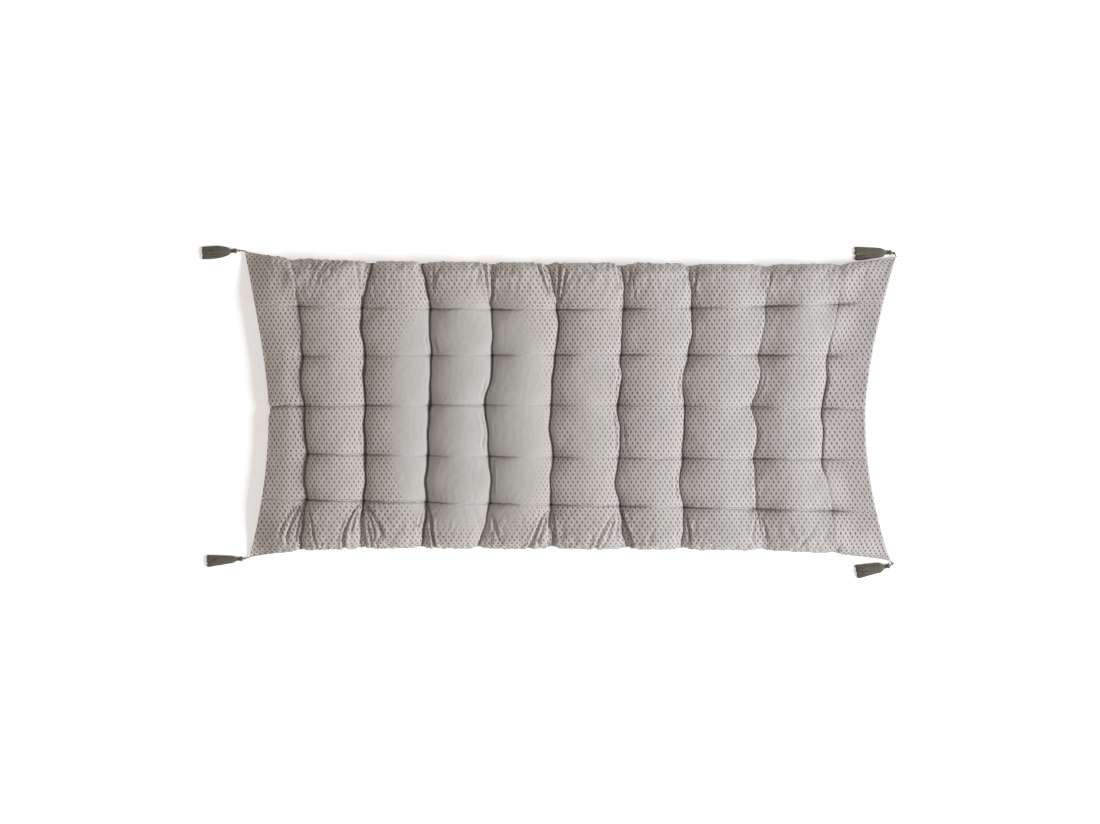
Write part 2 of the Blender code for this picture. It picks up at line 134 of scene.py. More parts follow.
longSeams["far"]["folds"] = (
    (1, 32, 0, 0.62, 1, 2.4, 2.4), (1, 44, 0, 0.7, 1, 2.2, 2.4),
    (1, 58, 2, 0.55, 1, 3.4, 2.6), (1, 68, 3, 0.4, 1, 3.2, 2.6),
    (1, 80, 4, 0.45, 1, 2.8, 2.4), (1, 92, 4, 0.4, 1, 2.8, 2.4),
    (2, -14, -1, 0.35, 1, 2.6, 2.6), (2, 9, -3, 0.1, 0.95, 3.6, 2.6),
    (3, 6, 2.5, 0.35, 1, 2.8, 2.8), (3, 16, 2, 0.3, 0.8, 2.2, 2.6),
    (4, -15, -2, 0.05, 1, 5, 3), (4, 11, -1, 0.1, 0.9, 3, 2.8),
    (5, -38, -6, 0.05, 1, 5.2, 3.2), (5, -28, -3, 0.08, 0.95, 3.8, 2.8),
    (5, 5, -0.5, 0.08, 1, 4.6, 2.8), (5, 22, 1, 0.08, 0.8, 3.4, 3),
    (5, 40, 1, 0.2, 0.7, 2, 3.2), (5, 62, 2, 0.2, 0.8, 1.8, 3.6),
    (6, -13, -1, 0.25, 1, 3.2, 2.8), (6, 15, 0, 0.45, 1, 3.2, 2.8),
    (7, 12, 1, 0.2, 1, 3.2, 2.8), (7, -9, -1.5, 0.3, 0.95, 2.2, 2.8),
    (8, 12, 1, 0.3, 0.8, 1.3, 3.6),
)

# folds beside a crease: column, from and to across, shift, depth and half width in mm
sideFolds = (
    (1, 2.55, 3.3, 8, 1.8, 2.4), (2, 3.4, 3.95, -9, 1.8, 2.4),
    (2, 2.05, 2.6, -9, 2, 2.6), (3, 4.02, 4.45, -7, 2.6, 2.2),
    (3, 4.02, 4.4, 9, 2.2, 2.2), (4, 1.15, 1.95, 5.5, 2.4, 1.7),
    (4, 2.1, 2.9, -8, 2.6, 2.6), (4, 3.1, 3.55, -9, 2.2, 2.8),
    (6, 2.05, 2.95, -9, 3, 2.4), (6, 3.05, 3.95, -8, 2.4, 2.4),
    (6, 2.2, 2.7, 8, 1.8, 2.2), (7, 1.1, 1.9, -8, 2.2, 2.6),
    (7, 3.1, 3.8, -9, 1.8, 2.6), (8, 3.1, 3.9, 6, 0.8, 2.4),
)

# strength of the thin crease to the right of each tuft, and how far over the pad it is dark
crossStrengths = (
    (0.3, 1, 0.9, 0.8, 0.8, 0.6, 0.9, 0.8, 0.8, 0.2),
    (0.1, 1, 0.7, 0.4, 0.9, 0.6, 0.6, 0.6, 0.7, 0.5),
    (1.7, 0.8, 0.8, 0.7, 0.3, 0.2, 0.3, 0.1, 0.4, 0.7),
    (0.1, 0.7, 0.3, 0.3, 0.7, 0.6, 0.8, 0.4, 0.8, 0.1),
    (0.1, 0.3, 0.3, 0.7, 0.9, 1, 0.6, 0.4, 0.7, 0.3),
)
crossReaches = (
    (1, 1, 1, 0.4, 0.5, 1, 0.45, 1, 1, 0.3),
    (1, 1, 0.5, 0.3, 0.4, 0.4, 0.9, 0.7, 1, 1),
    (1, 1, 0.45, 1, 0.3, 0.3, 0.2, 0.3, 0.2, 1),
    (0.3, 0.35, 1, 0.3, 0.3, 0.3, 0.4, 1, 0.6, 0.3),
    (0.3, 0.2, 0.4, 0.6, 0.4, 0.65, 0.4, 0.6, 0.5, 0.3),
)

# how deep each groove between two columns of pads is, from the near seam to the far one
grooves = (
    (0.7, 0.8, 1, 0.8, 0.7, 0.1),
    (0.4, 1, 1, 1, 1, 0.8),
    (0.8, 1, 0.9, 0.9, 0.8, 0.8),
    (0.4, 0.6, 0.7, 0.8, 0.6, 0.4),
    (0.5, 0.6, 0.8, 0.8, 0.8, 0.4),
    (0.5, 0.5, 0.6, 0.7, 0.5, 0.5),
    (0.4, 0.4, 0.7, 0.4, 0.5, 0.4),
    (0.05, 0.24, 0.32, 0.24, 0.15, 0),
    (0, 0.12, 0.9, 0.9, 0.08, 0),
)

# the crease of the middle row nips the left side in, in mm
endNotch = dict(y=3, width=5.5, depth=6.5, reach=0.12)

# in mm; hollow and ridge are shares of a fold's depth and half width
foldShape = dict(
    sharp=0.55, hollow=dict(depth=0.28, width=1.3),
    ridge=dict(height=0.24, place=2.1, width=1.1), spread=(0.45, 1.1), wander=1.5,
    grooveDepth=13, grooveWidth=2.3, crossDepth=6.5, crossWidth=1.2,
    crossShoulder=dict(share=0.25, width=5), notch=0.5, gatherReach=0.13,
    lump=dict(height=0.9, size=41), pucker=dict(height=0.9, size=15, reach=0.13),
    beforeSettling=0.5, afterSettling=0.6,
)


def mix(a, b, t):
    return a + (b - a) * t


def ease(t):
    t = np.clip(t, 0, 1)
    return t * t * (3 - 2 * t)


# 1 in the middle and almost nothing beyond twice the width
def bell(distance, width, power=2):
    return np.exp(-((np.abs(distance) / width) ** power))


# number of the pad at each place, and the share of the pad that lies before it
def padAt(places, count):
    pad = np.minimum(places.astype(int), count - 1)
    return pad, places - pad


# distances to the nearest end and to the nearest long side, counted in pads
def edgeDistances(along, across):
    fromSide = np.minimum(across, padsAcross - across)[None, :]
    return np.minimum(along, padsAlong - along), fromSide


def longSideY(side, x):
    left, right = corners["left", side], corners["right", side]
    along = (x - left[0]) / (right[0] - left[0])
    draw, power = sides[side]
    bend = 1 - np.abs(2 * along - 1) ** power
    return mix(left[1], right[1], along) - np.sign(left[1]) * draw * bend


def endSideX(end, y):
    near, far = corners[end, "near"], corners[end, "far"]
    along = (y - near[1]) / (far[1] - near[1])
    share = 2 * along - 1
    draw, (nearPower, farPower) = sides[end]
    bend = 1 - np.abs(share) ** np.where(share > 0, farPower, nearPower)
    return mix(near[0], far[0], along) - np.sign(near[0]) * draw * bend


def tuftY(row, x):
    left, middle, right = tuftRows[row]
    share = x / (0.5 * (tuftColumns[-1][0][2] - tuftColumns[0][0][2]))
    return middle + share * (right - left) / 2 + share**2 * (left + right - 2 * middle) / 2


def tuftPoints(tufts):
    return [(x, tuftY(row, x)) for row, x in enumerate(tufts)]


# smooth curve through points; places count from the first one
def curveThrough(points, places):
    points = np.asarray(points, float)
    last = len(points) - 1
    start = np.clip(places.astype(int), 0, last - 1)
    t = (places - start)[:, None]
    before, first = points[np.maximum(start - 1, 0)], points[start]
    second, after = points[start + 1], points[np.minimum(start + 2, last)]
    rise, slopeIn, slopeOut = second - first, (second - before) / 2, (after - first) / 2
    bend = 3 * rise - 2 * slopeIn - slopeOut
    return first + t * (slopeIn + t * (bend + t * (slopeIn + slopeOut - 2 * rise)))


# x and y of the end seams and the creases at these places across, one row each
def uprightLines(places, straightEnds=0):
    lines = []
    for tufts, (nearShift, farShift), bows in tuftColumns:
        nearX, farX = tufts[0] + nearShift, tufts[-1] + farShift
        nearPoint, farPoint = (nearX, longSideY("near", nearX)), (farX, longSideY("far", farX))
        line = curveThrough([nearPoint, *tuftPoints(tufts), farPoint], places)
        bow = np.take((0, *bows, 0), np.minimum(places.astype(int), padsAcross - 1))
        line[:, 0] += bow * np.sin(pi * places) ** 2
        number = len(lines)
        line[:, 0] += 0.8 * np.sin(5.7 * places + 1.7 * number)
        line[:, 0] += 0.5 * np.sin(13 * places + 2.3 * number)
        lines.append(line)
    for end, number in (("left", 0), ("right", padsAlong)):
        near, far = corners[end, "near"], corners[end, "far"]
        ys = [near[1], *(tuftY(row, near[0]) for row in range(len(tuftRows))), far[1]]
        y = curveThrough(np.array(ys)[:, None], places)[:, 0]
        x = endSideX(end, y)
        lines.insert(number, np.stack([mix(x, x.mean(), straightEnds), y], axis=1))
    return np.array(lines)


# x and y in mm for every grid point; along (a grid) and across (a row) count pads
def planGrid(along, across, straightEnds=0):
    lines = uprightLines(across, straightEnds)
    column, share = padAt(along, padsAlong)
    place = np.arange(len(across))[None, :]
    plan = mix(lines[column, place], lines[column + 1, place], share[..., None])
    x, y = plan[..., 0], plan[..., 1]
    fromCrease = along - np.clip(np.round(along), 1, padsAlong - 1)
    nick = coverShape["nickDepth"] * bell(fromCrease, coverShape["nickWidth"])
    for side, seam in longSeams.items():
        pull = np.clip(1 - np.abs(across - seam["place"]), 0, 1)[None, :] ** 2
        seamLine = uprightLines(np.array([float(seam["place"])]), straightEnds)[:, 0, 1]
        straightY = mix(seamLine[column], seamLine[column + 1], share)
        y = y + (longSideY(side, x) - seam["outward"] * nick - straightY) * pull
    return x, y


def grooveStrength(crease, across):
    return np.interp(across, np.arange(padsAcross) + 0.5, grooves[crease])


# how deep the dip along a row of tufts is at these places along
def crossStrength(row, along):
    s = coverShape
    column, a = padAt(along, padsAlong)
    strengths, reach = np.array(crossStrengths[row]), np.array(crossReaches[row])[column]
    starts = np.maximum(strengths, s["leastCross"])
    ending = 1 - ease((a - reach) / s["crossEnding"] + 0.5) * (reach < 1)
    inPad = np.maximum(strengths[column] * ending, s["leastCross"])
    inPad = mix(starts[column], inPad, ease(a / s["crossStart"]))
    following = starts[np.minimum(column + 1, padsAlong - 1)]
    return mix(inPad, following, ease((a - 1) / s["crossJoin"] + 1))


# low strips at the ends: the left one rises towards its crease, the right one has a rim
def stripFullness(column, a, rounding):
    fromSeam = np.where(column == 0, a, 1 - a)
    s = coverShape["leftStrip"]
    bend = np.sin(pi * np.minimum(fromSeam, s["reach"]) ** s["lean"])
    left = s["height"] * bend ** coverShape["roundAcross"]
    s = coverShape["rightStrip"]
    rim = s["rim"] * np.sqrt(1 - (1 - np.minimum(fromSeam / s["rimWidth"], 1)) ** 2)
    right = rim + s["rise"] * np.sin(pi / 2 * np.minimum(fromSeam / s["reach"], 1))
    toCrease = 1 - np.sin(pi * np.minimum(1 - fromSeam, 0.5)) ** rounding
    return np.where(column == 0, left, right), toCrease


# 0 at seams and tufts, 1 on the crown of a pad
def padFullness(along, across):
    s = coverShape
    column, a = padAt(along, padsAlong)
    row, b = padAt(across, padsAcross)
    line, place = np.arange(len(along))[:, None], np.arange(len(across))[None, :]
    depths = np.array([grooveStrength(crease, across) for crease in range(len(grooves))])
    fills = np.pad(mix(*s["creaseFill"], depths), ((1, 1), (0, 0)))
    uprightFill = mix(fills[column, place], fills[column + 1, place], ease(a))
    strengths = [crossStrength(number, along) for number in range(len(tuftRows))]
    strengths = np.pad(strengths, ((1, 1), (0, 0), (0, 0)), constant_values=1)
    before, after = strengths[row, line, place], strengths[row + 1, line, place]
    strength = mix(before, after, ease(b))
    inside = mix(1 * (row > 0), 1 * (row < padsAcross - 1), ease(b))

    # pads fall steeply to a deep crease and gently to a faint one
    strong = ease(depths / s["faintGroove"])
    roundings = mix(s["roundFaint"], s["roundAcross"], strong)
    rounding = np.pad(roundings, ((1, 1), (0, 0)), mode="edge")[column + (a >= 0.5), place]
    archA, archB = (np.maximum(np.sin(pi * share), 0) for share in (a, b))
    _, fromSide = edgeDistances(along, across)
    domeB = archB ** np.where(fromSide < 0.5, s["roundAtSeam"], s["roundAlong"])
    upright = 1 - (1 - archA**rounding) * (1 - uprightFill * domeB)
    rightRounding = np.maximum(roundings[-1], s["roundRightStrip"])
    rounding = np.where(column == 0, roundings[0], rightRounding)
    strip, toCrease = stripFullness(column, a, rounding)
    besideStrip = fills[np.where(column == 0, 1, padsAlong - 1), place] * domeB
    inStrip = (column == 0) | (column == padsAlong - 1)
    upright = np.where(inStrip, mix(strip, besideStrip, toCrease), upright)
    levelFill = s["crossFill"] * inside * (archA ** s["roundAcross"]) ** s["crossSharpness"]
    full = upright * (1 - (1 - domeB) * (1 - levelFill) * strength)
    return full * ease(np.hypot(*edgeDistances(along, across)) / s["cornerReach"])


def coverHeight(along, across, panel):
    fromEnd, fromSide = edgeDistances(along, across)
    fromCorner = ease(np.hypot(fromEnd, fromSide))
    seam = mix(coverShape["corner"], coverShape["seam"], fromCorner) + panel["seamStep"]
    base = mix(seam, panel["tuft"], ease(np.minimum(fromEnd, fromSide)))
    return np.maximum(mix(base, panel["crown"], padFullness(along, across)), 0)


# even lines, moved closer together beside the creases
def crowded(lines, crowding):
    return lines - crowding / fullTurn * np.sin(fullTurn * lines)


# grid lines, counted in pads; those along fan out towards the long seams
def coverLines():
    s = coverShape
    even, evenAcross = (
        np.linspace(0, pads, pads * lines + 1)
        for pads, lines in zip((padsAlong, padsAcross), s["linesPerPad"])
    )
    across = crowded(evenAcross, s["crowding"][1])
    inside = ease(np.minimum(across, padsAcross - across))
    crowding = mix(s["crowdingAtSeams"], s["crowding"][0], inside)[None, :]
    return even, np.clip(crowded(even[:, None], crowding), 0, padsAlong), across


# the surface with these heights in mm added square to it
def raised(points, heights):
    normal = np.cross(np.gradient(points, axis=0), np.gradient(points, axis=1))
    normal /= np.maximum(np.linalg.norm(normal, axis=2, keepdims=True), 1e-9)
    return points + normal * heights[..., None]


# a sharp valley in a soft hollow with a low ridge on each side, in shares of its depth
def foldProfile(distance, width):
    hollow, ridge = foldShape["hollow"], foldShape["ridge"]
    far = np.abs(distance) / width
    ridges = ridge["height"] * bell(far - ridge["place"], ridge["width"])
    valley = bell(far, foldShape["sharp"], 1.15)
    return ridges - valley - hollow["depth"] * bell(far, hollow["width"])


# folds that end at 1 run on at full depth
def fadeInOut(share, start, end, soft=0.16):
    fadeIn = ease((share - start) / (0.6 * soft))
    return fadeIn * ease((end - share) / soft + (end >= 1))


def foldHeights(across, x):
    height = np.zeros_like(x)
    for seam in longSeams.values():
        share = 1 - np.abs(across - seam["place"])[None, :]
        t = np.clip(share, 0, 1)
        for column, end, bow, start, stop, depth, width in seam["folds"]:
            tuftX = tuftColumns[column - 1][0][seam["tuftRow"]]
            foldX = tuftX + end * t + bow * 4 * t * (1 - t)
            profile = foldProfile(x - foldX, width * mix(*foldShape["spread"], t))
            height += depth * fadeInOut(share, start, stop) * profile
    lines = uprightLines(across)
    for column, start, stop, offset, depth, width in sideFolds:
        strength = fadeInOut((across - start) / (stop - start), 0, 0.999, 0.3)
        foldX = lines[column, :, 0] + offset + foldShape["wander"] * np.sin(9 * across + column)
        height += depth * strength * foldProfile(x - foldX, width)
    return height


def grooveHeights(across, x):
    height = np.zeros_like(x)
    for crease, line in enumerate(uprightLines(across)[1:-1, :, 0]):
        strength = grooveStrength(crease, across)
        strength *= 0.85 + 0.15 * np.sin(5.3 * across + 2 * crease)
        height -= strength * bell(x - line, foldShape["grooveWidth"], 1.6)
    return foldShape["grooveDepth"] * height


# thin creases that run along the rows of tufts
def crossHeights(along, across, x, y):
    f = foldShape
    shoulder = f["crossShoulder"]
    column, a = padAt(along, padsAlong)
    height = np.zeros_like(x)
    for row in range(len(tuftRows)):
        reach = np.array(crossReaches[row])[column]
        beyond = 1 - ease((a - reach) / 0.45 + 0.6) * (reach < 1)
        strength = np.array(crossStrengths[row])[column] * beyond * (1 - 0.4 * a)
        wave = 1.3 * np.sin(0.045 * x + 2.1 * row) + 0.6 * np.sin(0.13 * x + 4.4 * row)
        distance = y - tuftY(row, x) - wave * np.sin(pi * a)
        near = np.abs(across - row - 1) < 0.45
        crease = bell(distance, f["crossWidth"], 1.3)
        crease += shoulder["share"] * bell(distance, shoulder["width"])
        height -= f["crossDepth"] * strength * near * crease
    return height


# how far puckers and folds draw the seam towards the middle, in mm
def seamPuckers(seam, x):
    start = seam["waves"][0]
    wave = np.sin(0.62 * x + start)
    wave += 0.7 * np.sin(0.29 * x + 1.7 * start + 0.8 * np.sin(0.021 * x))
    shift = 0.5 * seam["pucker"] * np.abs(wave) ** 1.4
    for column, end, _, _, stop, depth, width in seam["folds"]:
        if stop >= 0.95:
            foldX = tuftColumns[column - 1][0][seam["tuftRow"]] + end
            shift += foldShape["notch"] * depth * bell(x - foldX, width)
    return shift


# fine gathers that stand square to the seam and die out a little way in
def gatherHeights(across, x):
    height = np.zeros_like(x)
    for seam in longSeams.values():
        start = seam["waves"][1]
        near = bell(across - seam["place"], foldShape["gatherReach"], 1)
        bent = x + 3 * np.sin(9 * across)
        wave = np.sin(0.55 * bent + start + 1.9 * np.sin(0.017 * x + start))
        strength = 0.35 + 0.65 * np.sin(0.031 * x + 2 * start) ** 2
        height += seam["gather"] * strength * near * wave
    return height


# soft lumps, -1 to 1, of about this size in mm
def softNoise(x, y, size, seed):
    reach = 800
    cells = np.random.default_rng(seed).uniform(-1, 1, (int(2 * reach / size) + 3,) * 2)
    u, v = (0.8 * x + 0.6 * y + reach) / size, (0.8 * y - 0.6 * x + reach) / size
    i, j = u.astype(int), v.astype(int)
    near = mix(cells[i, j], cells[i + 1, j], ease(u - i))
    far = mix(cells[i, j + 1], cells[i + 1, j + 1], ease(u - i))
    return mix(near, far, ease(v - j))


# the filling is a little lumpy, and the cloth puckers beside the creases
def lumpHeights(along, x, y):
    lump, pucker = foldShape["lump"], foldShape["pucker"]
    beside = mix(0.3, 1, bell(along - np.round(along), pucker["reach"]))
    puckers = pucker["height"] * softNoise(x, y, pucker["size"], 8)
    puckers *= beside * (1 - 0.6 * fadedPatch(x, y))
    return lump["height"] * softNoise(x, y, lump["size"], 5) + puckers


# faded places: middle and half size in mm, softness to the left and right, share gone
fadedPlaces = (
    ((-148, -4), (144, 211), (0.16, 0.34), 1),
    ((76, 5), (38, 130), (0.5, 0.4), 0.4),
    ((489, 172), (58, 48), (0.6, 0.6), 0.4),
    ((492, -142), (40, 30), (0.6, 0.6), 0.4),
)
# share by which the print is washed out on the right flank of every pad, which faces the key light:
# a painted highlight
paintedFlankHighlight = 0.27


def fadedPatch(x, y):
    left = np.ones_like(x)
    for (middleX, middleY), (halfX, halfY), softness, gone in fadedPlaces:
        corner = np.abs((x - middleX) / halfX) ** 3 + np.abs((y - middleY) / halfY) ** 3
        soft = np.where(x < middleX, *softness)
        left *= 1 - gone * ease((1 + soft - corner ** (1 / 3)) / (2 * soft))
    return 1 - left


# the real faded patches of the print, and on the lit right flank of each pad a painted highlight
# that washes the print out
def printFadeAndHighlight(along, x, y):
    column, a = padAt(along, padsAlong)
    flank = ease((a - 0.1) / 0.6) * ease((0.98 - a) / 0.06)
    onPad = (column > 0) & (column < padsAlong - 1)
    return np.maximum(fadedPatch(x, y), paintedFlankHighlight * flank * onPad)


# how far the rows of dots stay straight where the ends are drawn in, 0 to 1
printStraightness = 0.4


# places on the flat cloth: every row of a pad takes up the same length along the mattress,
# and across it the full pads decide
def clothGrid(points, along, across):
    plan = planGrid(along, across, printStraightness)
    stepX, stepY = (np.linalg.norm(np.diff(points, axis=axis), axis=2) for axis in (0, 1))
    extraX = stepX - np.abs(np.diff(plan[0], axis=0))
    extraY = np.percentile(stepY - np.abs(np.diff(plan[1], axis=1)), 75, axis=0)
    perPad = len(extraX) // padsAlong
    nearest = np.round((np.arange(len(extraX)) + 0.5) / perPad)
    crease = np.clip(nearest, 1, padsAlong - 1)
    for number in range(1, padsAlong):
        part = crease == number
        total = extraX[part].sum(axis=0)
        extraX[part] += (total.mean() - total) / part.sum()
    sumX = np.pad(np.cumsum(extraX, axis=0), ((1, 0), (0, 0)))
    sumY = np.pad(np.cumsum(np.maximum(extraY, 0)), (1, 0))
    sumX -= np.interp(-110, plan[0].mean(axis=1), sumX.mean(axis=1))
    sumY -= sumY[len(sumY) // 2]
    return np.stack([plan[0] + sumX, plan[1] + sumY], axis=2) * mm


# a value in a node tree; sums and products of such values become maths nodes
class Value:
    def __init__(self, socket):
        self.socket = socket
        self.tree = socket.id_data

    def calc(self, operation, *others):
        values = dict(enumerate((self, *others)))
        return addNode(self.tree, "Math", values, operation=operation)[0]

    __add__ = partialmethod(calc, "ADD")
    __sub__ = partialmethod(calc, "SUBTRACT")
    __mul__ = partialmethod(calc, "MULTIPLY")
    __truediv__ = partialmethod(calc, "DIVIDE")
    __pow__ = partialmethod(calc, "POWER")

    def remap(self, low, high, toLow=0, toHigh=1, kind="SMOOTHSTEP"):
        values = dict(enumerate((self, low, high, toLow, toHigh)))
        return addNode(self.tree, "MapRange", values, interpolation_type=kind)[0]

    def stretched(self, scale):
        return addNode(self.tree, "VectorMath", {0: self, 1: scale}, operation="MULTIPLY")[0]

    def noise(self, scale, detail=2):
        return addNode(self.tree, "TexNoise", {0: self, 2: scale, 3: detail})[0]


def feed(node, values):
    for place, value in values.items():
        if isinstance(value, Value):
            node.id_data.links.new(value.socket, node.inputs[place])
        else:
            node.inputs[place].default_value = value


# a node with these values in its inputs; gives its outputs
def addNode(tree, kind, values, **settings):
    node = tree.nodes.new("ShaderNode" + kind)
    for name, setting in settings.items():
        setattr(node, name, setting)
    feed(node, values)
    return [Value(socket) for socket in node.outputs]


def mixColour(tree, factor, first, second, blend="MIX"):
    values = {0: factor, 6: first, 7: second}
    return addNode(tree, "Mix", values, data_type="RGBA", blend_type=blend)[2]


def newMaterial(name):
    material = bpy.data.materials.new(name)
    material.use_nodes = True
    tree = material.node_tree
    return material, tree, tree.nodes["Principled BSDF"]


def rgb(*values):
    shares = (value / 255 for value in values)
    linear = (v / 12.92 if v <= 0.04045 else ((v + 0.055) / 1.055) ** 2.4 for v in shares)
    return (*linear, 1)


# the end colour is the duller tone of the right end, and partly painted shade
# the start colour is painted light that lightens the left end strip
printedCotton = dict(
    clothStartPaintedLight=rgb(200, 192, 186), clothLeft=rgb(191, 184, 178), clothRight=rgb(189, 184, 181),
    clothEndToneAndShade=rgb(182, 176, 174), clothBare=rgb(180, 177, 173), startPlace=(-0.45, -0.52),
    endPlace=(0.44, 0.58), dot=rgb(92, 84, 81), dotPitch=9.5 * mm, rowPitch=7.1 * mm,
    dotWidth=3.2 * mm, dotHeight=5.6 * mm, dotLean=0.1, dotSquareness=1.7, dotRoughness=0.7,
    dotEdge=(1.35, 0.55), printDrift=2.4 * mm, thread=0.55 * mm, reliefDepth=0.35 * mm,
)

cottonShader = {
    "Roughness": 0.92, "Specular IOR Level": 0.2, "Sheen Weight": 0.25, "Sheen Roughness": 0.5
}


def makePrintedCotton():
    look = printedCotton
    material, tree, shader = newMaterial("printedCotton")
    cloth = addNode(tree, "UVMap", {}, uv_map="cloth")[0]
    drift = addNode(tree, "TexNoise", {"Vector": cloth, "Scale": 22})[1]
    reach = (look["printDrift"], look["printDrift"], 0)
    values = {0: drift, 1: reach, 2: cloth}
    drifted = addNode(tree, "VectorMath", values, operation="MULTIPLY_ADD")[0]
    x, y, _ = addNode(tree, "SeparateXYZ", {0: drifted})

    # staggered dots: every second row is moved by half a step
    row = y / look["rowPitch"]
    rowNumber = row.calc("FLOOR")
    rowPart = row.calc("FRACT") - 0.5
    column = x / look["dotPitch"] + rowNumber.calc("WRAP", 2, 0) * 0.5
    columnNumber = column.calc("FLOOR")
    leaning = column.calc("FRACT") - 0.5 + rowPart * look["dotLean"]
    across = leaning * (2 * look["dotPitch"] / look["dotWidth"])
    along = rowPart * (2 * look["rowPitch"] / look["dotHeight"])
    power = look["dotSquareness"]
    fromMiddle = across.calc("ABSOLUTE") ** power + along.calc("ABSOLUTE") ** power
    edge = (cloth.noise(900) - 0.5) * look["dotRoughness"]
    dot = (fromMiddle + edge).remap(*look["dotEdge"])

    # every dot has its own strength; the print is faded in patches, and washed out on the lit
    # flanks of the pads as a painted highlight
    cell = addNode(tree, "CombineXYZ", {0: columnNumber, 1: rowNumber})[0]
    chance = addNode(tree, "TexWhiteNoise", {"Vector": cell}, noise_dimensions="2D")[0]
    ink = chance.remap(0, 1, 0.78, 1, "LINEAR")
    fadeAndHighlight = addNode(tree, "Attribute", {}, attribute_name="printFadeAndHighlight")[2]
    shown = (fadeAndHighlight + (cloth.noise(160, 3) - 0.5) * 0.35).remap(0.85, 0.05)
    dot = dot * ink * shown

    slubs = cloth.stretched((60, 900, 1)), cloth.stretched((900, 60, 1))
    threads = (slubs[0].noise(1, 3) + slubs[1].noise(1, 3)) * 0.5
    placeAlong = addNode(tree, "Attribute", {}, attribute_name="placeAlong")[2]
    toRight = (placeAlong + (cloth.noise(7, 3) - 0.5) * 1.2).remap(-0.5, 0.5)
    base = mixColour(tree, toRight, look["clothLeft"], look["clothRight"])
    # the left end strip is lighter: painted light that lifts the shade on its slope, which turns
    # away from the key light
    base = mixColour(tree, placeAlong.remap(*look["startPlace"]), base, look["clothStartPaintedLight"])
    # the right end is darker: the cloth's duller tone there, and painted shade that tones down the
    # stronger key light on that end
    base = mixColour(tree, placeAlong.remap(*look["endPlace"]), base, look["clothEndToneAndShade"])
    # bare cloth shows through in the faded patches and, as a painted highlight, on the lit flanks
    # of the pads
    base = mixColour(tree, fadeAndHighlight, base, look["clothBare"])
    shade = threads.remap(0.3, 0.7, 0.94, 1.04, "LINEAR")
    grey = addNode(tree, "CombineColor", {0: shade, 1: shade, 2: shade})[0]
    base = mixColour(tree, 1, base, grey, "MULTIPLY")

    turns = fullTurn / look["thread"]
    weave = (x * turns).calc("SINE") * (y * turns).calc("SINE")
    relief = weave * 0.25 + (cloth.noise(120, 3) * 2.2 + threads)
    values = {"Height": relief, "Strength": 0.35, "Distance": look["reliefDepth"]}
    normal = addNode(tree, "Bump", values)[0]
    colour = mixColour(tree, dot, base, look["dot"])
    feed(shader, {"Base Color": colour, "Normal": normal, **cottonShader})
    return material


yarnLooks = {
    "tasselYarn": dict(light=rgb(126, 120, 108), dark=rgb(76, 71, 62), twist=1.9 * mm),
    "wrapThread": dict(light=rgb(112, 106, 95), dark=rgb(68, 63, 55), twist=1.6 * mm),
    "cordCotton": dict(light=rgb(132, 126, 113), dark=rgb(80, 75, 66), twist=2.2 * mm),
}
yarnShader = {"Roughness": 0.95, "Specular IOR Level": 0.15, "Sheen Weight": 0.3}


# twisted yarn: the map "yarn" runs in metres round and along each strand
def makeYarn(name):
    look = yarnLooks[name]
    material, tree, shader = newMaterial(name)
    strand = addNode(tree, "UVMap", {}, uv_map="yarn")[0]
    around, along, _ = addNode(tree, "SeparateXYZ", {0: strand})
    ply = ((around + along) * (fullTurn / look["twist"])).calc("SINE")
    fibre = strand.stretched((6000, 500, 1)).noise(1, 3)
    height = ply * 0.16 + (fibre + strand.noise(90))
    values = {"Height": height, "Strength": 0.6, "Distance": 0.3 * mm}
    # the colour follows the same height: besides the yarn's own streaky tone, it is lighter where
    # the fibres stand up, a painted highlight, and darker in the grooves between the plies, painted
    # shade
    factor = height.remap(0.6, 1.4, kind="LINEAR")
    normal = addNode(tree, "Bump", values)[0]
    colour = mixColour(tree, factor, look["dark"], look["light"])
    feed(shader, {"Base Color": colour, "Normal": normal, **yarnShader})
    return material


settling = dict(
    step=2, frames=24, creaseHold=0.6, creaseReach=4, softHold=0.3, tuftReach=6, slack=0.002,
    mostSlack=0.07, spareReach=0.6, spareRight=0.5, cap=7,
)

settlingCloth = dict(
    mass=0.001, bending_stiffness=0.3, tension_damping=2, compression_damping=2,
    shear_damping=2, vertex_group_mass="held", use_pressure=True, uniform_pressure_force=1,
    vertex_group_shrink="spare", shrink_min=-settling["mostSlack"],
)


def addObject(name, data):
    thing = bpy.data.objects.new(name, data)
    scene.collection.objects.link(thing)
    return thing


def gridFaces(index):
    quads = [index[:-1, :-1], index[1:, :-1], index[1:, 1:], index[:-1, 1:]]
    return np.stack(quads, axis=2).reshape(-1, 4)


def weighVertices(piece, name, weights):
    group = piece.vertex_groups.new(name=name)
    levels = np.round(weights.ravel() * 40) / 40
    for level in np.unique(levels):
        group.add(np.flatnonzero(levels == level).tolist(), float(level), "REPLACE")


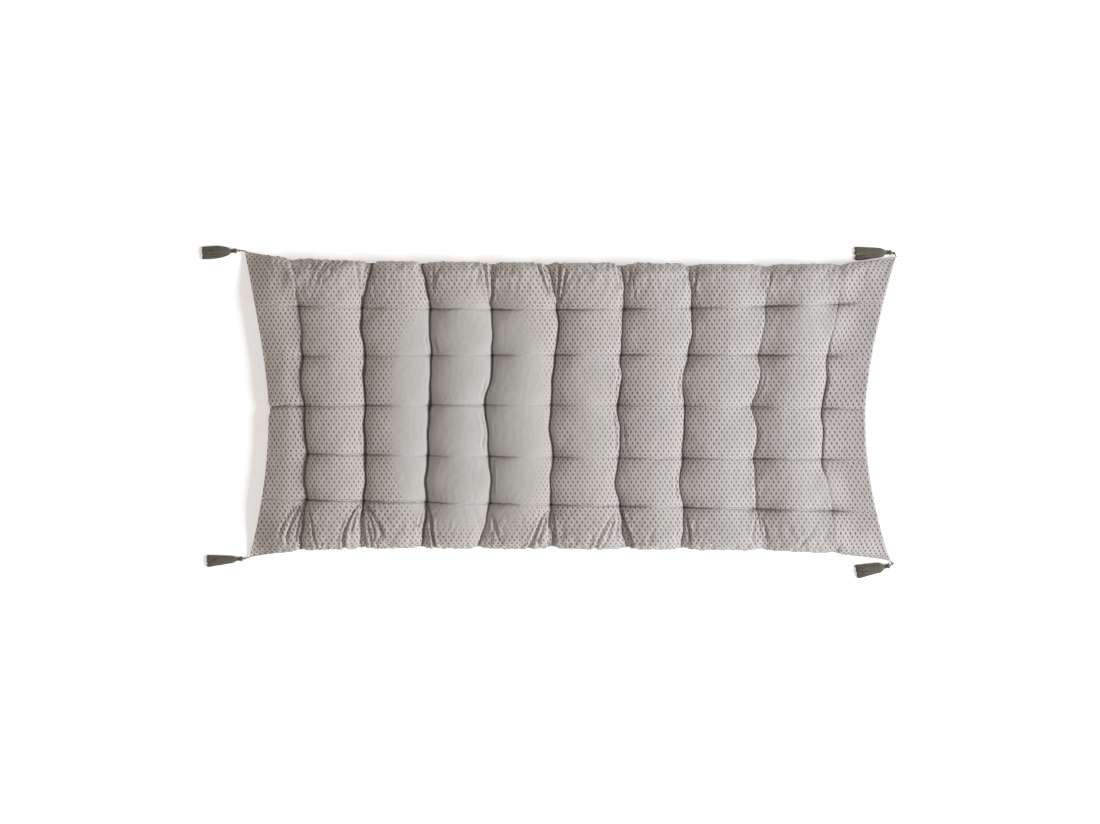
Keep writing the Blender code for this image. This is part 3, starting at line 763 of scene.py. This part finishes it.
# the filling presses the cloth outwards, and spare cloth beside the long seams buckles
def settleCloth(points, along, across, even):
    s = settling
    step = s["step"]
    coarse = points[::step, ::step]
    index = np.arange(coarse[..., 0].size).reshape(coarse.shape[:2])
    mesh = bpy.data.meshes.new("settling")
    mesh.from_pydata((coarse.reshape(-1, 3) * mm).tolist(), [], gridFaces(index).tolist())
    sheet = addObject("settling", mesh)

    x, y = coarse[..., 0], coarse[..., 1]
    creases = uprightLines(across[::step])[1:-1, None, :, 0]
    toCrease = np.abs(x - creases).min(axis=0)
    tufts = [point for column in tuftColumns for point in tuftPoints(column[0])]
    toTuft = np.min([np.hypot(x - tuftX, y - tuftPlace) for tuftX, tuftPlace in tufts], axis=0)
    fromEnd, fromSide = edgeDistances(along[::step, ::step], across[::step])
    spare = bell(fromSide, s["spareReach"]) * ease(fromEnd)
    spare *= mix(1, s["spareRight"], ease((x - 150) / 200))
    weighVertices(sheet, "spare", 1 - mix(s["slack"] / s["mostSlack"], 1, spare))
    hold = mix(s["softHold"], s["creaseHold"], bell(toCrease, s["creaseReach"]))
    hold = np.maximum(hold, bell(toTuft, s["tuftReach"], 4))
    hold[[0, -1], :] = hold[:, [0, -1]] = 1
    weighVertices(sheet, "held", hold)

    cloth = sheet.modifiers.new("settle", "CLOTH")
    for name, value in settlingCloth.items():
        setattr(cloth.settings, name, value)
    cloth.settings.effector_weights.gravity = 0
    cloth.collision_settings.use_collision = False
    cloth.point_cache.frame_end = s["frames"]
    for number in range(1, s["frames"] + 1):
        scene.frame_set(number)
    settled = sheet.evaluated_get(bpy.context.evaluated_depsgraph_get()).to_mesh()
    moved = np.empty(coarse.size)
    settled.vertices.foreach_get("co", moved)
    scene.frame_set(1)
    bpy.data.objects.remove(sheet)
    bpy.data.meshes.remove(mesh)
    offset = moved.reshape(coarse.shape) / mm - coarse
    size = np.linalg.norm(offset, axis=2, keepdims=True)
    print("the cloth moved by up to", round(float(size.max()), 1), "mm")
    offset *= s["cap"] * np.tanh(size / s["cap"]) / np.maximum(size, 1e-6)
    fine = refined(offset, even, step).swapaxes(0, 1)
    return points + refined(fine, across, step).swapaxes(0, 1)


# values on every second line, filled in between
def refined(values, lines, step):
    coarse = lines[::step]
    left = np.clip(np.searchsorted(coarse, lines, side="right") - 1, 0, len(coarse) - 2)
    share = (lines - coarse[left]) / (coarse[left + 1] - coarse[left])
    return mix(values[left], values[left + 1], share[:, None, None])


def topPanel(along, across, even):
    x, y = planGrid(along, across)
    notch = bell(along, endNotch["reach"]) * bell(y - endNotch["y"], endNotch["width"])
    x = x + endNotch["depth"] * notch
    fromEnd, fromSide = edgeDistances(along, across)
    for seam in longSeams.values():
        close = bell(across - seam["place"], 0.05) * ease(fromEnd * 2)
        y = y - seam["outward"] * seamPuckers(seam, x) * close
    points = np.stack([x, y, coverHeight(along, across, panels["top"])], axis=2)
    held = ease(np.minimum(fromEnd, fromSide) / 0.05)
    folds = foldHeights(across, x) + gatherHeights(across, x) + lumpHeights(along, x, y)
    before, after = (foldShape[time] * folds * held for time in ("beforeSettling", "afterSettling"))
    points = raised(settleCloth(raised(points, before), along, across, even), after)
    points[..., 2] += grooveHeights(across, x) * held
    cloth = clothGrid(points, along, across)
    points[..., 2] += crossHeights(along, across, x, y) * held
    return points, cloth, printFadeAndHighlight(along, x, y)


def underPanel(along, across, topEdge):
    x, y = planGrid(along, across)
    points = np.stack([x, y, coverHeight(along, across, panels["under"])], axis=2)
    points[[0, -1], :, :2] = topEdge[[0, -1], :, :2]
    points[:, [0, -1], :2] = topEdge[:, [0, -1], :2]
    return points, clothGrid(points, along, across)


def rimOf(index):
    return np.concatenate([index[:, 0], index[-1, 1:], index[-2::-1, -1], index[0, -2::-1]])


# faces that join the fine rim of the top to the coarser one of the underside
def seamFaces(topIndex, underIndex, stepX, stepY):
    topRim, underRim = rimOf(topIndex).tolist(), rimOf(underIndex).tolist()
    longEdges, endEdges = (count - 1 for count in underIndex.shape)
    faces, place = [], 0
    for number, step in enumerate(([stepX] * longEdges + [stepY] * endEdges) * 2):
        fine = topRim[place : place + step + 1]
        first, second = underRim[number : number + 2]
        half = step // 2
        for k in range(step):
            faces.append([fine[k + 1], fine[k], first if k < half else second])
        faces.append([fine[half], first, second])
        place += step
    return faces


def addMap(mesh, name, values):
    layer = mesh.uv_layers.new(name=name)
    layer.data.foreach_set("uv", values.astype(np.float32).ravel())


def finishPiece(name, mesh, material):
    mesh.polygons.foreach_set("use_smooth", [True] * len(mesh.polygons))
    mesh.materials.append(material)
    return addObject(name, mesh)


def buildCover(shift):
    stepX, stepY = coverShape["underStep"]
    even, along, across = coverLines()
    top, cloth, fadeAndHighlight = topPanel(along, across, even)
    coarse = (along[::stepX, ::stepY], across[::stepY])
    under, underCloth = underPanel(*coarse, top[::stepX, ::stepY])
    topIndex = np.arange(fadeAndHighlight.size).reshape(fadeAndHighlight.shape)
    underIndex = fadeAndHighlight.size + np.arange(under[..., 0].size).reshape(under.shape[:2])
    faces = gridFaces(topIndex).tolist() + gridFaces(underIndex)[:, ::-1].tolist()
    panelLoops = 4 * len(faces)
    faces += seamFaces(topIndex, underIndex, stepX, stepY)
    vertices = np.concatenate([top.reshape(-1, 3), under.reshape(-1, 3)]) + shift
    mesh = bpy.data.meshes.new("mattressCover")
    mesh.from_pydata((vertices * mm).tolist(), [], faces)

    # "cloth" runs in metres for the print; "OFBake" lies in one square, the top above
    low, high = cloth.min(axis=(0, 1)), cloth.max(axis=(0, 1))
    layout = (cloth - low) / (high - low) * (0.98, 0.48) + (0.01, 0.51)
    underLayout = layout[::stepX, ::stepY] - (0, 0.5)
    beside = layout[::stepX, ::stepY] + 0
    beside[0, :, 0] -= 0.003
    beside[-1, :, 0] += 0.003
    beside[:, 0, 1] -= 0.003
    beside[:, -1, 1] += 0.003
    loopVertex = np.empty(len(mesh.loops), dtype=int)
    mesh.loops.foreach_get("vertex_index", loopVertex)
    onSeam = (np.arange(len(loopVertex)) >= panelLoops)[:, None]
    for name, grids in (
        ("cloth", (cloth, underCloth, cloth[::stepX, ::stepY])),
        ("OFBake", (layout, underLayout, beside)),
    ):
        onTop, onUnder, onRim = (grid.reshape(-1, 2) for grid in grids)
        panel = np.concatenate([onTop, onUnder])[loopVertex]
        rim = np.concatenate([onTop, onRim])[loopVertex]
        addMap(mesh, name, np.where(onSeam, rim, panel))
    # faded patches together with the painted highlight on the lit flanks; the underside has neither
    fadeAndHighlightValues = np.concatenate([fadeAndHighlight.ravel(), np.zeros(underIndex.size)])
    for name, values in (("printFadeAndHighlight", fadeAndHighlightValues), ("placeAlong", vertices[:, 0] * mm)):
        attribute = mesh.attributes.new(name, "FLOAT", "POINT")
        attribute.data.foreach_set("value", values.astype(np.float32))
    return finishPiece("mattress_cover", mesh, makePrintedCotton())


# points, faces and maps of a tube: yarn across and along in metres, then bake, 0 to 1
def joinRings(rings, lengths, girth, closed=False, mirrored=False):
    count, around = rings.shape[:2]
    steps = count if closed else count - 1
    i, j = np.indices((steps, around))[..., None] + np.zeros(4, int)
    onward, turned = np.array(((0, 0, 1, 1), (0, 1, 1, 0)))
    i, j = (i + turned, j + onward) if mirrored else (i + onward, j + turned)
    faces = (i % count * around + j % around).reshape(-1, 4).tolist()
    maps = np.stack([girth * j / around, lengths[np.minimum(i, count - 1)], j / around, i / steps])
    maps = [maps.reshape(4, -1).T]
    order = np.arange(around) if mirrored else np.arange(around)[::-1]
    for ring, cap in () if closed else ((0, order), (steps, order[::-1])):
        faces.append((ring * around + cap).tolist())
        share, flat = cap / around, np.zeros(around)
        maps.append(np.stack([girth * share, flat, share, flat + ring / steps], axis=1))
    return rings.reshape(-1, 3), faces, np.concatenate(maps)


def unit(vectors):
    return vectors / np.linalg.norm(vectors, axis=-1, keepdims=True)


def lengthsOf(path):
    return np.pad(np.cumsum(np.linalg.norm(np.diff(path, axis=0), axis=1)), (1, 0))


# a round strand along a path; both in metres
def strand(path, radius, around=6, closed=False):
    if closed:
        tangents = unit(np.roll(path, -1, axis=0) - np.roll(path, 1, axis=0))
    else:
        tangents = unit(np.gradient(path, axis=0))
    side = np.cross(tangents[0], [0.1, 0.2, 1])
    sides = []
    for tangent in tangents:
        side = unit(side - tangent * np.dot(side, tangent))
        sides.append(side)
    angles = (fullTurn * np.arange(around) / around)[:, None]
    sides, ups = np.array(sides)[:, None], np.cross(tangents, sides)[:, None]
    rings = path[:, None] + radius * (np.cos(angles) * sides + np.sin(angles) * ups)
    return joinRings(rings, lengthsOf(path), fullTurn * radius, closed)


# one piece from groups of tubes; every group has an even share of the bake map
def meshPiece(name, groups, material):
    vertices, faces, maps = [], [], []
    for number, tubes in enumerate(groups):
        for place, (points, tubeFaces, tubeMaps) in enumerate(tubes):
            faces += [[len(vertices) + i for i in face] for face in tubeFaces]
            vertices += points.tolist()
            tubeMaps[:, 1] += 0.01371 * place
            column = (place + 0.92 * tubeMaps[:, 2]) / len(tubes)
            tubeMaps[:, 2] = (number + 0.98 * column) / len(groups)
            maps.append(tubeMaps)
    maps = np.concatenate(maps)
    mesh = bpy.data.meshes.new(name)
    mesh.from_pydata(vertices, [], faces)
    addMap(mesh, "yarn", maps[:, :2])
    addMap(mesh, "OFBake", maps[:, 2:])
    return finishPiece(name, mesh, material)


# in mm: middle and radius of the knot, start of the skirt, its turn in degrees, its length,
# and its width at the shoulder, halfway and at the cut end
tassels = {
    ("left", "far"): ((-576.2, 299.2), 2.4, (-589.9, 298.5), 184.1, 57, (17, 24.4, 24.2)),
    ("left", "near"): ((-565.4, -271.5), 2.3, (-579, -272.5), 183.8, 59, (14, 17, 22.6)),
    ("right", "far"): ((638.2, 294.4), 3.3, (624.1, 295.5), 181.9, 61, (17.6, 21, 26)),
    ("right", "near"): ((635.2, -281.2), 2.8, (620.8, -286.7), 190.5, 56, (19.6, 22, 25.6)),
}

tasselShape = dict(
    axisHeight=4.9, headRadius=4.8, headLength=7.3, headRidges=19, ridgeYarn=1.6,
    ridgeDepth=0.09, neckRadius=3, neckLength=3.4, yarnRadius=0.62, yarnsAcross=22, layers=7,
    clumps=9, clumping=0.38, ragged=(1, 0.8), wave=0.8,
    widthSpans=((0, 0.2), (0.08, 0.55), (0.35, 1)), top=(7.8, 9.4, 8.2, 5.6),
    topSpans=((0, 0.2), (0.16, 0.55), (0.45, 1)),
)

# radius of the head at places along it from the neck, as shares
headPlaces = (-0.46, -0.3, 0, 0.06, 0.14, 0.26, 0.42, 0.58, 0.72, 0.84, 0.93, 0.98, 1)
headRadii = (0.45, 0.6, 0.62, 0.7, 0.82, 0.95, 1, 0.97, 0.85, 0.66, 0.45, 0.28, 0.1)


# a value that goes smoothly from one size to the next along the skirt
def alongSkirt(share, sizes, spans):
    value = np.full_like(share, sizes[0])
    for before, after, (start, stop) in zip(sizes, sizes[1:], spans):
        value += (after - before) * ease((share - start) / (stop - start))
    return value


# points of one yarn in the tassel's own frame, in mm; p runs across and q upwards
def yarnPath(p, q, length, widths, start):
    t = tasselShape
    thick = t["yarnRadius"]
    share = np.linspace(0, 1, 15)
    neck = 2 * t["neckRadius"] - 1
    width = alongSkirt(share, (neck, *widths), t["widthSpans"]) - 2 * thick
    clump = (np.round((p + 1) / 2 * (t["clumps"] - 1)) / (t["clumps"] - 1)) * 2 - 1
    pulled = p + (clump - p) * t["clumping"] * ease((share - 0.5) / 0.5)
    sway = 0.45 * np.sin(6 * share + start) + 0.2 * np.sin(17 * share + 2 * start)
    across = pulled * width / 2 + sway * share
    bottom = t["axisHeight"] - t["neckRadius"] + 0.5
    low = mix(bottom, 0, ease(share / 0.3)) + thick
    high = alongSkirt(share, t["top"], t["topSpans"]) - thick
    arch = np.sqrt(1 - (0.86 * p) ** 2)
    upward = mix(low, mix(low, high, mix(1, arch, ease(share / 0.12))), q)
    upward += 0.25 * np.sin(7 * share + 1.7 * start) * share * q
    back = 0.4 * t["neckLength"]
    return np.stack([share * (length + back) - back, across, upward], axis=1)


# layers of yarns, thinned out where none of them shows
def buildSkirt(length, widths, seed):
    t = tasselShape
    random = np.random.default_rng(seed)
    byClump, byYarn = t["ragged"]
    shorter = random.uniform(0, 2 * byClump, t["clumps"])
    yarns = []
    for layer in range(t["layers"]):
        inLayer = t["yarnsAcross"] - layer % 2
        for k in range(inLayer):
            p = (k + 0.5) / inLayer * 2 - 1 + random.uniform(-0.03, 0.03)
            p = float(np.clip(p, -1, 1))
            if layer % 2 and 2 < k < inLayer - 3:
                continue
            clump = int(round((p + 1) / 2 * (t["clumps"] - 1)))
            ragged = shorter[clump] + abs(random.normal(0, byYarn))
            yarnLength = length - ragged - t["wave"] * (1 - cos(9 * p + seed))
            start = random.uniform(0, 6.28)
            path = yarnPath(p, layer / (t["layers"] - 1), yarnLength, widths, start)
            yarns.append(strand(path * mm, t["yarnRadius"] * mm, 5))
    return yarns


# the head is wound over with yarn, so it has ridges from the cord to the neck
def buildHead():
    t = tasselShape
    shares, radii = np.array([headPlaces, headRadii])[..., None]
    angles = fullTurn * np.arange(96) / 96
    ridges = np.abs(np.sin(t["headRidges"] / 2 * (angles + 0.5 * shares))) ** 0.7
    r = t["headRadius"] * radii * (1 - t["ridgeDepth"] * (1 - ridges))
    x = -t["neckLength"] - shares * t["headLength"] + 0 * r
    rings = np.stack([x, r * np.cos(angles), t["axisHeight"] + r * np.sin(angles)], axis=2)
    lengths = shares[:, 0] * t["headLength"] * mm
    girth = t["headRidges"] * t["ridgeYarn"] * mm
    return joinRings(rings * mm, lengths, girth, mirrored=True)


wrapShape = dict(turns=3, threadRadius=0.42, length=2.4, gap=0.35, perTurn=22)


def buildWrap():
    w, t = wrapShape, tasselShape
    angle = np.linspace(0, fullTurn * w["turns"], w["turns"] * w["perTurn"] + 1)
    radius = t["neckRadius"] + w["gap"] + w["threadRadius"]
    travel = w["length"] - 2 * w["threadRadius"]
    x = travel * (angle / angle[-1] - 0.5) - t["neckLength"] / 2
    path = np.stack([x, radius * np.cos(angle), t["axisHeight"] + radius * np.sin(angle)], axis=1)
    return strand(path * mm, w["threadRadius"] * mm)


cordShape = dict(radius=1.15, ply=0.62, pitch=5, knotRadius=0.34)


def buildCord(route):
    c = cordShape
    line = curveThrough(route, np.linspace(0, len(route) - 1, 46))
    tangents = unit(np.gradient(line, axis=0))
    sides = unit(np.cross(tangents, [0, 0, 1]))
    ups = np.cross(sides, tangents)
    plies = []
    for start in (0, pi):
        angle = (fullTurn * lengthsOf(line) / c["pitch"] + start)[:, None]
        offset = c["radius"] * (1 - c["ply"]) * (np.cos(angle) * sides + np.sin(angle) * ups)
        plies.append(strand((line + offset) * mm, c["radius"] * c["ply"] * mm, 8))
    return plies


def buildKnot(centre, radius, turn):
    thick = cordShape["knotRadius"]
    t = np.linspace(0, fullTurn, 60, endpoint=False)
    x, y = np.sin(t) + 2 * np.sin(2 * t), np.cos(t) - 2 * np.cos(2 * t)
    across, along = cos(turn) * x - sin(turn) * y, sin(turn) * x + cos(turn) * y
    loop = np.stack([across, along, -1.6 * np.sin(3 * t)], axis=1)
    path = centre + loop * radius * (1 - thick) / 3
    return strand(path * mm, radius * thick * mm, 8, closed=True)


def placeTassels(shift):
    t = tasselShape
    yarn, thread, cotton = (makeYarn(name) for name in yarnLooks)
    for number, (corner, row) in enumerate(tassels.items()):
        knot, knotRadius, start, turn, length, widths = row
        place = "_".join(corner)
        skirt = buildSkirt(length, widths, 11 + number)
        tassel = meshPiece(f"tassel_yarns_{place}", [[buildHead()], skirt], yarn)
        wrap = meshPiece(f"neck_wrap_{place}", [[buildWrap()]], thread)
        turn = radians(turn)
        for piece in (tassel, wrap):
            piece.rotation_euler.z = turn
            piece.location = (np.array([*start, 0]) + shift) * mm

        # the cord runs from inside the corner through its knot into the tassel's head
        tip = np.array([*corners[corner], coverShape["corner"]]) + shift
        knot = np.array([*knot, max(knotRadius, coverShape["corner"])]) + shift
        reach = t["neckLength"] + t["headLength"] - 0.6
        end = np.array([*start, t["axisHeight"]]) + shift
        end -= reach * np.array([cos(turn), sin(turn), 0])
        into = unit(knot - tip)
        route = [tip - 1.5 * into, tip + 1.2 * into, knot, mix(end, knot, 0.4), end]
        parts = [buildCord(route), [buildKnot(knot, knotRadius, 0.7 + number)]]
        cord = meshPiece(f"corner_cord_{place}", parts, cotton)
        for piece, node, slot in (
            (tassel, "tassel", "tassel_yarn"),
            (wrap, "wrap", "wrap_thread"),
            (cord, "cord", "cord_cotton"),
        ):
            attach(piece, "root")
            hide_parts(f"{node}_{place}")


# the CAD is centred on its footprint, so everything here moves with its mattress node
low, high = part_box("mattress")
leftX, farY = corners["left", "far"]
shift = np.array([low[0] / mm - leftX, high[1] / mm - farY, 0])
print("shift of the footprint in mm:", shift.round(2).tolist())

cover = buildCover(shift)
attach(cover, "root")
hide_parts("mattress")
print("cover made:", len(cover.data.polygons), "faces")

placeTassels(shift)
print("tassels made")

studio = dict(
    floorSize=14, sky=(1.05, 0.96, 0.89, 1), skyStrength=0.4, keyPower=560, keyHeight=33,
    keyTurn=-12, keyDistance=7, keySize=(3, 2.4), keyColour=(0.95, 1, 1.045),
)

floorLooks = {
    "Base Color": (0.92, 0.92, 0.915, 1),
    "Roughness": 0.95,
    "Specular IOR Level": 0.1,
    "Emission Color": (1, 1, 1, 1),
    "Emission Strength": 0.36,
}


def buildStudio():
    s = studio
    bpy.ops.mesh.primitive_plane_add(size=s["floorSize"], location=(0, 0, 0))
    floor = bpy.context.object
    floor.name = "studio_floor"
    material, _, shader = newMaterial("paleFloor")
    feed(shader, floorLooks)
    floor.data.materials.append(material)
    world = bpy.data.worlds.new("studioSky")
    world.use_nodes = True
    feed(world.node_tree.nodes["Background"], {0: s["sky"], 1: s["skyStrength"]})
    scene.world = world

    # one large soft light from the right and a little from the near side
    light = bpy.data.lights.new("keyLight", "AREA")
    light.shape = "RECTANGLE"
    light.size, light.size_y = s["keySize"]
    light.energy = s["keyPower"]
    light.color = s["keyColour"]
    key = addObject("keyLight", light)
    rise, turn = radians(s["keyHeight"]), radians(s["keyTurn"])
    level = cos(rise)
    towards = Vector((level * cos(turn), level * sin(turn), sin(rise)))
    key.location = s["keyDistance"] * towards
    key.rotation_euler = (-towards).to_track_quat("-Z", "Y").to_euler()


view = dict(distance=6, above=0.03, widthSeen=2.031, sensor=36)


def buildCamera(shift):
    camera = addObject("photo_camera", bpy.data.cameras.new("photo_camera"))
    camera.data.sensor_width = view["sensor"]
    camera.data.lens = view["sensor"] * view["distance"] / view["widthSeen"]
    camera.data.clip_end = 50
    camera.location = (shift[0] * mm, shift[1] * mm, view["distance"] + view["above"])
    scene.camera = camera


buildStudio()
buildCamera(shift)
scene.view_settings.view_transform = "Standard"
scene.view_settings.look = "None"
print("studio ready")
